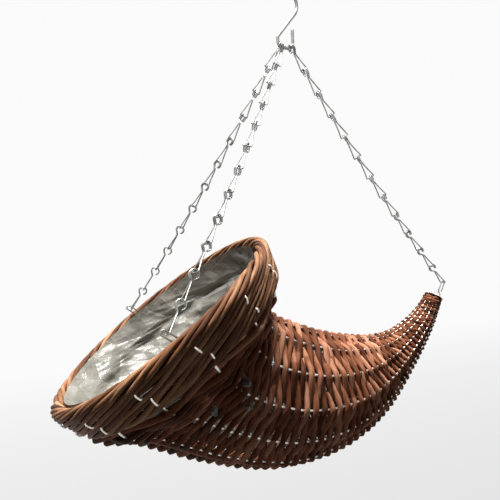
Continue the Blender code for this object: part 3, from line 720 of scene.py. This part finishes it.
class HORNBASKET_OT_wall(bpy.types.Operator):
    """Weave the willow wall round the ribs, row by row"""

    bl_idname = "hornbasket.wall"
    bl_label = "Weave Wall"

    def execute(self, context):
        values = settings()
        material = willow_material("wall_willow", values.willow_dark, values.willow_middle,
                                   values.willow_light, 0.62, 0.0)
        angles, table, weights, widths, kinds, local = weave_rows(values.rod_width)
        bands = (np.arange(BANDS + 1) / BANDS) ** BAND_GROWTH
        length = HORN_LENGTH - TIP_SETBACK - HORN_STRAIGHT
        shares = (table[:, RIBS * SPAN_STEPS // 2] - HORN_STRAIGHT) / length
        belongs = np.clip(np.searchsorted(bands, shares, side="right") - 1, 0, BANDS - 1)
        for band in range(BANDS):
            label = f"woven_rods_{band + 1}"
            meshes = []
            for closed in (True, False):
                rows = [row for row in np.nonzero(belongs == band)[0] if kinds[row] == closed]
                if rows:
                    paths, normals, radii, tones = self.rods(values, angles, table, weights, widths,
                                                             local, rows, closed)
                    meshes.append(tube_mesh(label, paths, normals, radii * ROD_OVAL, radii, WIRE_SIDES,
                                            closed, tones))
            add_piece(label, joined(label, meshes), material, BASKET,
                      [f"weave_band_{band + 1}"])
        return {"FINISHED"}

    def rods(self, values, angles, table, weights, widths, local, rows, closed):
        """Paths, normals, radii and tones of the given rows, closed rings or open short rows.

        A rod swings in and out as the arcsine of a cosine, nearly straight from rib to rib, and is a
        little thinner at a rib.
        """
        paths, normals, radii, tones = [], [], [], []
        for row in rows:
            if closed:
                turn = circle(RIBS * SPAN_STEPS)
            else:
                inside = np.nonzero(weights[row] > SHORT_ROW_EDGE)[0]
                turn = np.linspace(angles[inside[0]], angles[inside[-1]], SHORT_ROW_STEPS)
            middle, normal, run = row_path(angles, table[row], turn)
            wave = SWING_SHARE * np.cos(math.pi * (turn / RIB_STEP - 0.5))
            swing = np.arcsin(wave) / math.asin(SWING_SHARE)
            weight = np.maximum(np.interp(turn, angles, weights[row]), LEAST_WEIGHT)
            width = np.interp(turn, angles, local) * widths[row]
            swell = 1 + ROD_SWELL * slow_noise(row, 1, turn[None] / math.tau, SWELL_WAVE)[0]
            radii.append((ROD_SHARE - RIB_PINCH * np.abs(swing)) * width * swell * np.sqrt(weight))
            side = 1 if row % 2 else -1
            bulge = values.rod_bulge * widths[row] * side * swing * calm(run, ROD_CALM)
            bulge = bulge + ROD_WANDER * slow_noise(row + 900, 1, turn[None] / math.tau, WANDER_WAVE)[0]
            paths.append(middle + normal * (values.rib_offset + bulge)[:, None])
            normals.append(normal)
            # Painted shade: darker tone under the rolled rim on the sides and underside, and towards the tip,
            # taken off the rods' random tone
            shade = ROLL_SHADE * np.clip(1 - (run - HORN_STRAIGHT) / ROLL_SHADE_REACH, 0, 1)
            shade = shade * np.clip(ROLL_SHADE_SIDE - np.cos(turn), 0, 1)
            shade = shade + TIP_SHADE * np.clip((run - TIP_SHADE_FROM) / TIP_SHADE_REACH, 0, 1)
            tones.append(tone_of_rods(row * 7 + 3, 1, turn[None])[0] - shade)
        return [np.array(part) for part in (paths, normals, radii, tones)]


class HORNBASKET_OT_rim(bpy.types.Operator):
    """Roll the rim's rods round the mouth"""

    bl_idname = "hornbasket.rim"
    bl_label = "Roll Rim"

    def execute(self, context):
        values = settings()
        material = willow_material("rim_willow", values.willow_dark, values.rim_middle, values.rim_light,
                                   0.52, 0.03)
        step = ROLL_AROUND / (RIM_RODS * values.rim_turns)
        winding = 2 + 1 / values.rim_turns
        whole = math.tau * values.rim_turns
        for rod in range(RIM_RODS):
            label = f"rolled_rod_{rod + 1}"
            start = math.tau * rod / RIM_RODS
            turn = np.linspace(start, start + whole, RIBS * RIM_SPAN_STEPS * values.rim_turns)[None]
            wander = RIM_WANDER * slow_noise(rod + 40, 1, turn / math.tau, RIM_WANDER_WAVE)
            around = (rod + 0.5) * step + winding * ROLL_AROUND * (turn - RIB_STEP / 2) / math.tau + wander
            short, long = roll_spot(around)
            path = roll_point(turn, short, long)
            flat = np.clip(long, -ROLL_STRAIGHT / 2, ROLL_STRAIGHT / 2)
            out = path - roll_point(turn, short * 0, flat)
            fade = (turn - start) / whole
            swell = RIM_SWELL * slow_noise(rod + 60, 1, turn, RIM_SWELL_WAVE)
            radius = values.rim_rod_width / 2 * (RIM_THICK_END - RIM_TAPER * fade + swell)
            mesh = tube_mesh(label, path, out, radius * RIM_ROD_OVAL, radius, RIM_SIDES, False,
                             tone_of_rods(rod + 70, 1, turn))
            add_piece(label, mesh, material, BASKET, [f"rim_rod_{rod + 1}"])
        return {"FINISHED"}


class HORNBASKET_OT_frame(bpy.types.Operator):
    """Set the frame's ribs, mouth ring, tip ring and ties"""

    bl_idname = "hornbasket.frame"
    bl_label = "Wire Frame"

    def execute(self, context):
        values = settings()
        material = zinc_material("rib_zinc", tuple(values.rib_wire), 0.38, 0.75)
        angles = (np.arange(RIBS) + 0.5) * RIB_STEP
        runs, turns = np.broadcast_arrays(np.linspace(0.0, HORN_LENGTH, RIB_SAMPLES), angles[:, None])
        ease = calm(runs, RIB_CALM)
        rise = values.rib_offset + RIB_RISE * ease
        rise = rise * np.clip((runs - HORN_STRAIGHT * RIB_COVER) / RIB_FADE_IN, 0, 1)
        rise = rise * np.clip((HORN_LENGTH - runs) / RIB_FADE_OUT, 0, 1)
        sink = RIB_SINK * ease * (1 - slow_noise(84, RIBS, runs / HORN_LENGTH, SINK_WAVE))
        paths = wall_point(runs, turns, rise - sink)
        radius = RIB_THIN_WIRE + RIB_THICKENING * ease
        wires = [tube_mesh("ribs", paths, wall_normal(runs, turns), radius, radius, WIRE_SIDES, False, 0.0)]
        turn = circle(RIBS * SPAN_STEPS)
        mouth = roll_point(turn, turn * 0, turn * 0)
        tip = rib_spot(HORN_LENGTH, turn)
        for name, ring, run, radius in (("mouth_ring", mouth, 0.0, MOUTH_RING_WIRE),
                                        ("tip_ring", tip, HORN_LENGTH, TIP_RING_WIRE)):
            wires.append(tube_mesh(name, ring[None], wall_normal(run, turn)[None], radius, radius,
                                   WIRE_SIDES, True, 0.0))
        wires.append(self.ties(angles, values))
        add_piece("frame_wires", joined("frame_wires", wires), material, BASKET,
                  ["wire_frame"])
        return {"FINISHED"}

    def ties(self, angles, values):
        """Short wires over the rim's outer rods, two at each rib.

        The height over the roll falls with the sixth power of the place along the tie, so that its
        ends bend in between the rods. Place, length and slant are drawn at random.
        """
        part = np.linspace(-1, 1, TIE_SAMPLES)
        height = ROLL_END + values.rim_rod_width / 2 + TIE_RISE - TIE_DIP * part**6
        places = np.array(TIE_PLACES)[None, :, None] + TIE_SHIFT * (spread(81, RIBS, 2, 1) - 0.5)
        slant = TIE_SLANT * (spread(82, RIBS, 2, 1) - 0.5)
        long = places + TIE_REACH * (0.45 + 0.6 * spread(83, RIBS, 2, 1)) * part
        turn = angles[:, None, None] + TIE_APART * np.array((-1, 1))[None, :, None] + slant * part
        short = np.broadcast_to(height, long.shape)
        path = roll_point(turn, short, long).reshape(RIBS * 2, len(part), 3)
        out = path - roll_point(turn, short * 0, long).reshape(path.shape)
        return tube_mesh("ties", path, out, TIE_WIRE, TIE_WIRE, WIRE_SIDES, False, 0.0)


class HORNBASKET_OT_liner(bpy.types.Operator):
    """Lay the crumpled film inside the horn"""

    bl_idname = "hornbasket.liner"
    bl_label = "Film Liner"

    def execute(self, context):
        material = film_material("liner_film", settings().film)
        share, turn = np.broadcast_arrays(np.linspace(0, 1, FILM_ROWS)[:, None], circle(FILM_COLUMNS))
        runs = FILM_START + share * FILM_LENGTH
        inset = FILM_INSET + LIP_INSET * np.clip(1 - (runs - LIP_REACH) / LIP_REACH, 0, 1)
        crumple = self.folds(share, turn) * np.clip(share * FOLD_GROWTH, LEAST_FOLD, 1)
        points = wall_point(runs, turn, -(inset + crumple))
        points += wall_normal(runs, turn) * self.scraps(runs, turn)[..., None]
        index = np.arange(share.size).reshape(share.shape)
        right = np.roll(index, -1, axis=1)
        quads = np.stack((index[:-1], index[1:], right[1:], right[:-1]), axis=-1)
        below = 0.5 - 0.5 * np.cos(turn)
        depth = np.clip(FILM_FADE_LEVEL - share * FILM_FADE, LEAST_FILM_TONE, 1)
        tone = (FILM_TONE + FILM_TONE_BELOW * below) * depth + crumple / FOLD_TONE_DEPTH
        mesh = quad_mesh("liner_film", points, quads, np.clip(tone, 0, 1))
        piece = add_piece("film_liner", mesh, material, BASKET, ["liner"])
        return {"FINISHED"}

    def folds(self, share, turn):
        """Depth of the folds: ridges of four sizes, each 1 less a sine's height along a wavy line.

        A second sine makes each ridge deeper and shallower on its way.
        """
        depth = np.zeros(share.shape)
        for octave, (wave, size) in enumerate(FOLDS):
            for pick in range(FOLDS_OF_A_SIZE):
                seed = octave * FOLDS_OF_A_SIZE + pick + 11
                phase = spread(seed, 3) * math.tau
                slant = 0.6 + spread(seed + 20, 1)[0]
                line = np.round(wave * slant) * turn + 9 * wave * share + phase[0]
                ridge = np.sin(line + FOLD_BEND * np.sin(2 * turn + 11 * share * wave / 2 + phase[1]))
                swell = 0.5 + 0.5 * np.sin(3 * turn + 8 * share + phase[2])
                depth += size * (1 - np.abs(ridge)) * swell
        return depth

    def scraps(self, runs, turn):
        """Outward pull of the film where small folds of it stand out between the rods: a bell each."""
        pull = np.zeros(runs.shape)
        for run, angle, reach in SCRAPS:
            away = ((runs - run) / SCRAP_LENGTH) ** 2 + ((turn - angle) / SCRAP_ANGLE) ** 2
            pull += reach * np.exp(-away)
        return pull


class HORNBASKET_OT_hook(bpy.types.Operator):
    """Bend the hook"""

    bl_idname = "hornbasket.hook"
    bl_label = "Hook"

    def execute(self, context):
        material = zinc_material("hook_zinc", tuple(settings().zinc), 0.34, 0.45)
        turn = np.linspace(CROOK_SWEEP - SHANK_LEAN, -SHANK_LEAN, 60)
        crook = np.stack((CROOK_RADIUS * np.cos(turn), turn * 0,
                          HOOK_WIRE_RADIUS - CROOK_RADIUS + CROOK_RADIUS * np.sin(turn)), axis=1)
        foot = np.array((-HOOK_HALF_WIDTH, 0, HOOK_BOTTOM_Z + HOOK_SHANK_HEIGHT))
        lean = np.array((math.sin(SHANK_LEAN), 0, math.cos(SHANK_LEAN)))
        shank = np.linspace(crook[-1], foot + lean * HOOK_BEND_START, 14)[1:]
        bend = smooth_path((foot + lean * HOOK_BEND_START, foot + lean * HOOK_BEND_ABOVE,
                            foot - np.array((0, 0, HOOK_BEND_BELOW)), foot - np.array((0, 0, HOOK_BEND_END))),
                           HOOK_BEND_STEPS)[1:]
        slopes = np.linspace(-math.pi / 2, math.pi / 2, 34)
        reach = HOOK_HALF_WIDTH - HOOK_CORNER
        corner = np.stack((np.sign(slopes) * reach + HOOK_CORNER * np.sin(slopes), slopes * 0,
                           HOOK_BOTTOM_Z + HOOK_CORNER * (1 - np.cos(slopes))), axis=1)
        leg = np.linspace(corner[-1], (HOOK_HALF_WIDTH, 0, HOOK_BOTTOM_Z + HOOK_LEG_HEIGHT), 8)[1:]
        path = np.vstack((crook, shank, bend, corner, leg))
        add_wire("hook_wire", path, np.array((0.0, 1.0, 0.0)), HOOK_WIRE_RADIUS, HOOK_SIDES, material,
                 "hook", "hook")
        return {"FINISHED"}


def link_path():
    """Wire of a link about its own bar: triangle from the bar to the neck, then the double eye."""
    lane = CHAIN_WIRE + LINK_EYE_GAP / 2
    eye_up = CHAIN_PITCH - LINK_SEAT
    turn = np.radians(np.linspace(230, -50, 15))
    eye = np.stack((turn * 0 + lane, LINK_EYE * np.cos(turn), eye_up + LINK_EYE * np.sin(turn)), axis=1)
    lower = np.array(((lane, 0.0006, eye_up - 1.35 * LINK_EYE), (lane * 1.1, 0, eye_up - 1.8 * LINK_EYE),
                      (LINK_HALF_WIDTH * 0.62, 0, eye_up * 0.35), (LINK_HALF_WIDTH, 0, 0.0013),
                      (LINK_HALF_WIDTH - 0.0003, 0, 0.0003), (LINK_HALF_WIDTH - 0.0014, 0, 0)))
    half = np.vstack((eye, lower))
    return smooth_path(np.vstack((half, half[::-1] * np.array((-1, 1, 1)))), PATH_STEPS)


def chain_frames(name):
    """Places and axes of a chain's links, from the joints of its bars and the turn of their wire.

    A link points at the bar above it, and the chain twists evenly from the hook's angle to its eye.
    """
    bars = [np.array(JOINTS[f"{name}_turn_{step:02d}"]["pos_m"]) for step in range(1, CHAIN_LINKS)]
    bars.append(np.array(JOINTS[f"{name}_bow"]["pos_m"]))
    ways = [unit(bars[step - 1] - bars[step]) for step in range(1, CHAIN_LINKS)]
    ways.insert(0, unit(2 * ways[0] - ways[1]))
    slope = HANG_ANGLES[name]
    top = np.array((math.cos(slope), 0, math.sin(slope)))
    found = []
    for step in range(CHAIN_LINKS):
        along = ways[step]
        low = unit(np.array((0, 1, 0)) - along * along[1])
        high = unit(top - along * top.dot(along))
        if np.cross(low, high).dot(along) * TWIST_WAYS[name] < 0:
            high = -high
        swing = math.acos(max(-1.0, min(1.0, low.dot(high)))) * TWIST_WAYS[name]
        share = (CHAIN_LINKS - 1 - step) / (CHAIN_LINKS - 1)
        turn = np.array(Matrix.Rotation(swing * share, 3, Vector(along)))
        across = turn @ low
        found.append((bars[step], np.stack((across, np.cross(along, across), along))))
    return found


class HORNBASKET_OT_chains(bpy.types.Operator):
    """Bend the links of the three chains"""

    bl_idname = "hornbasket.chains"
    bl_label = "Chains"

    def execute(self, context):
        material = zinc_material("chain_zinc", tuple(settings().zinc), 0.30, 0.40)
        shape = link_path()
        for name in ("far", "near", "tip"):
            for step, (place, axes) in enumerate(chain_frames(name), 1):
                path = place + shape @ axes
                across = np.cross(np.gradient(path, axis=0), axes[1] + 0.3 * axes[2])[None]
                add_wire(f"{name}_link_wire_{step:02d}", path, across, CHAIN_WIRE, WIRE_SIDES, material,
                         f"{name}_link_{step:02d}", f"{name}_chain_link_{step:02d}")
        return {"FINISHED"}


def eye_axes(lean):
    """Direction of an eye's loop and the direction across it."""
    return (np.array((math.cos(lean), 0, math.sin(lean))), np.array((-math.sin(lean), 0, math.cos(lean))))


def eye_loop(root, along, across, length):
    """Loop of an eye: out along one leg, half a circle round the end, back along the other."""
    straight = length - EYE_HALF_WIDTH - EYE_WIRE
    turn = np.linspace(0, math.pi, 9)[:, None]
    bow = root + along * (straight + EYE_HALF_WIDTH * np.sin(turn)) + across * EYE_HALF_WIDTH * np.cos(turn)
    first = root + along * EYE_HALF_WIDTH + across * EYE_HALF_WIDTH
    last = root + along * (EYE_HALF_WIDTH + EYE_WIRE) - across * EYE_HALF_WIDTH
    return np.vstack((first, (first + bow[0]) / 2, bow, (last + bow[-1]) / 2, last))


class HORNBASKET_OT_eyes(bpy.types.Operator):
    """Bend the wire eyes that hold the basket"""

    bl_idname = "hornbasket.eyes"
    bl_label = "Wire Eyes"

    def execute(self, context):
        material = zinc_material("eye_zinc", tuple(settings().zinc), 0.34, 0.40)
        gap = float(roll_spot(np.array(RIM_EYE_LANE * ROLL_AROUND))[1])
        for name, side in (("far", 1), ("near", -1)):
            places = ((0.0, RIM_EYE_FOOT), (0.0, gap), (-ROLL_END - RIM_EYE_CLEAR - EYE_WIRE, gap))
            foot, bend, root = (roll_point(np.array(side * RIM_EYE_ANGLE), np.array(short), np.array(long))
                                for short, long in places)
            along, across = eye_axes(math.pi - RIM_EYE_LEAN)
            points = (foot, bend, root, eye_loop(root, along, across, RIM_EYE_LENGTH))
            self.wire(f"{name}_eye_wire", points, f"{name}_rim_eye", material)
        heading = float(horn_heading(HORN_LENGTH))
        out = np.array((math.cos(heading), 0, math.sin(heading)))
        foot = rib_spot(HORN_LENGTH, math.pi) + out * TIP_EYE_FOOT
        root = foot + out * 2 * EYE_WIRE
        along, across = eye_axes(TIP_EYE_LEAN)
        self.wire("tip_eye_wire", (foot, root, eye_loop(root, along, across, TIP_EYE_LENGTH)), "tip_eye",
                  material)
        return {"FINISHED"}

    def wire(self, name, points, node_name, material):
        """One eye's wire, smoothed through its points."""
        add_wire(name, smooth_path(np.vstack(points), PATH_STEPS), np.array((0.0, 1.0, 0.0)), EYE_WIRE,
                 WIRE_SIDES, material, BASKET, node_name)


class HORNBASKET_OT_stage(bpy.types.Operator):
    """Set the floor, the lamps, the sky and the camera"""

    bl_idname = "hornbasket.stage"
    bl_label = "Stage"

    def execute(self, context):
        self.floor()
        self.sky()
        for name, place, size, power in LAMPS:
            self.lamp(name, Vector(place), size, power)
        self.camera()
        return {"FINISHED"}

    def floor(self):
        """A floor that sweeps up into a backdrop: depth on one axis, a quarter circle at its far end."""
        turn = np.linspace(0, math.pi / 2, 13)[1:]
        depth = np.concatenate(((FLOOR_FRONT, 0.0, FLOOR_BACK), FLOOR_BACK + FLOOR_BEND * np.sin(turn),
                                (FLOOR_BACK + FLOOR_BEND,)))[:, None]
        height = np.concatenate((np.zeros(3), FLOOR_BEND * (1 - np.cos(turn)), (WALL_TOP,)))[:, None]
        wide = np.linspace(-FLOOR_HALF_WIDTH, FLOOR_HALF_WIDTH, 9)
        grid = np.stack(np.broadcast_arrays(wide, depth, height + FLOOR_HEIGHT), axis=-1)
        index = np.arange(grid[..., 0].size).reshape(grid.shape[:2])
        quads = np.stack((index[:-1, :-1], index[:-1, 1:], index[1:, 1:], index[1:, :-1]), axis=-1)
        mesh = quad_mesh("floor", grid, quads, np.zeros(index.shape))
        mesh.materials.append(self.paper())
        floor = bpy.data.objects.new("floor", mesh)
        bpy.context.scene.collection.objects.link(floor)

    def paper(self):
        """Dull grey paper that shows as pale, whiter to the back, to the rays that see or mirror it."""
        material, shader = blank_material("floor_paper")
        set_sockets(shader, Base_Color=(0.06, 0.06, 0.06, 1.0), Roughness=0.9)
        place = node(material, "ShaderNodeTexCoord")
        parts = node(material, "ShaderNodeSeparateXYZ")
        far = node(material, "ShaderNodeMapRange", From_Min=-0.4, From_Max=2.4)
        greys = ((0.0, 0.74), (0.30, 0.86), (0.7, 1.0))
        ramp = ramp_node(material, *((stop, (grey, grey, grey)) for stop, grey in greys))
        glow = node(material, "ShaderNodeEmission")
        mix = node(material, "ShaderNodeMixShader")
        share = math_node(material, "MULTIPLY", FLOOR_GLOW)
        output = material.node_tree.nodes["Material Output"]
        wire_up(material, (seen_rays(material), "Value", share, 0), (share, "Value", mix, "Fac"),
                (place, "Object", parts, "Vector"), (parts, "Y", far, "Value"),
                (far, "Result", ramp, "Fac"), (ramp, "Color", glow, "Color"),
                (shader, "BSDF", mix, 1), (glow, "Emission", mix, 2), (mix, "Shader", output, "Surface"))
        return material

    def sky(self):
        """A plain world: white where it is seen or mirrored, dimmer where it lights."""
        world = bpy.data.worlds.new("plain_sky")
        bpy.context.scene.world = world
        world.use_nodes = True
        back = world.node_tree.nodes["Background"]
        set_sockets(back, Color=(1.0, 1.0, 1.0, 1.0))
        level = node(world, "ShaderNodeMapRange", To_Min=SKY_LIGHT)
        wire_up(world, (seen_rays(world), "Value", level, "Value"), (level, "Result", back, "Strength"))

    def lamp(self, name, place, size, power):
        """A round area lamp, turned to the basket."""
        data = bpy.data.lights.new(name, "AREA")
        data.shape = "DISK"
        data.size = size
        data.energy = power
        lamp = bpy.data.objects.new(name, data)
        bpy.context.scene.collection.objects.link(lamp)
        lamp.location = place
        lamp.rotation_euler = (Vector(LAMP_AIM) - place).to_track_quat("-Z", "Y").to_euler()

    def camera(self):
        """A camera at the picture's angle, rolled a little, with the frame shifted down."""
        data = bpy.data.cameras.new("camera")
        data.lens = CAMERA_LENS
        data.sensor_width = CAMERA_SENSOR
        data.shift_y = CAMERA_SHIFT
        camera = bpy.data.objects.new("camera", data)
        bpy.context.scene.collection.objects.link(camera)
        around, raised, roll = (math.radians(angle) for angle in CAMERA_ANGLES)
        back = Vector((math.sin(around) * math.cos(raised), -math.cos(around) * math.cos(raised),
                       math.sin(raised)))
        right = (-back).cross(Vector((0, 0, 1))).normalized()
        up = right.cross(-back)
        level_right = right * math.cos(roll) + up * math.sin(roll)
        level_up = up * math.cos(roll) - right * math.sin(roll)
        turn = Matrix((level_right, level_up, back)).transposed().to_4x4()
        turn.translation = Vector(CAMERA_PLACE)
        camera.matrix_world = turn
        bpy.context.scene.camera = camera
        bpy.context.scene.view_settings.view_transform = "Standard"


OPERATORS = (HORNBASKET_OT_wall, HORNBASKET_OT_rim, HORNBASKET_OT_frame, HORNBASKET_OT_liner,
             HORNBASKET_OT_hook, HORNBASKET_OT_chains, HORNBASKET_OT_eyes, HORNBASKET_OT_stage)


class HORNBASKET_PT_panel(bpy.types.Panel):
    """Lists the basket's settings and pieces"""

    bl_idname = "HORNBASKET_PT_panel"
    bl_label = "Horn Basket"
    bl_space_type = "VIEW_3D"
    bl_region_type = "UI"
    bl_category = "Horn Basket"

    def draw(self, context):
        for name in BasketSettings.__annotations__:
            self.layout.prop(context.scene.horn_basket, name)
        for operator in OPERATORS:
            self.layout.operator(operator.bl_idname)


def register():
    bpy.utils.register_class(BasketSettings)
    bpy.types.Scene.horn_basket = PointerProperty(type=BasketSettings)
    for kind in OPERATORS:
        bpy.utils.register_class(kind)
    bpy.utils.register_class(HORNBASKET_PT_panel)


def unregister():
    bpy.utils.unregister_class(HORNBASKET_PT_panel)
    for kind in reversed(OPERATORS):
        bpy.utils.unregister_class(kind)
    del bpy.types.Scene.horn_basket
    bpy.utils.unregister_class(BasketSettings)


def main():
    """Build every piece and the stage."""
    register()
    bpy.ops.hornbasket.wall()
    bpy.ops.hornbasket.rim()
    bpy.ops.hornbasket.frame()
    bpy.ops.hornbasket.liner()
    bpy.ops.hornbasket.hook()
    bpy.ops.hornbasket.chains()
    bpy.ops.hornbasket.eyes()
    bpy.ops.hornbasket.stage()


if __name__ == "__main__":
    main()
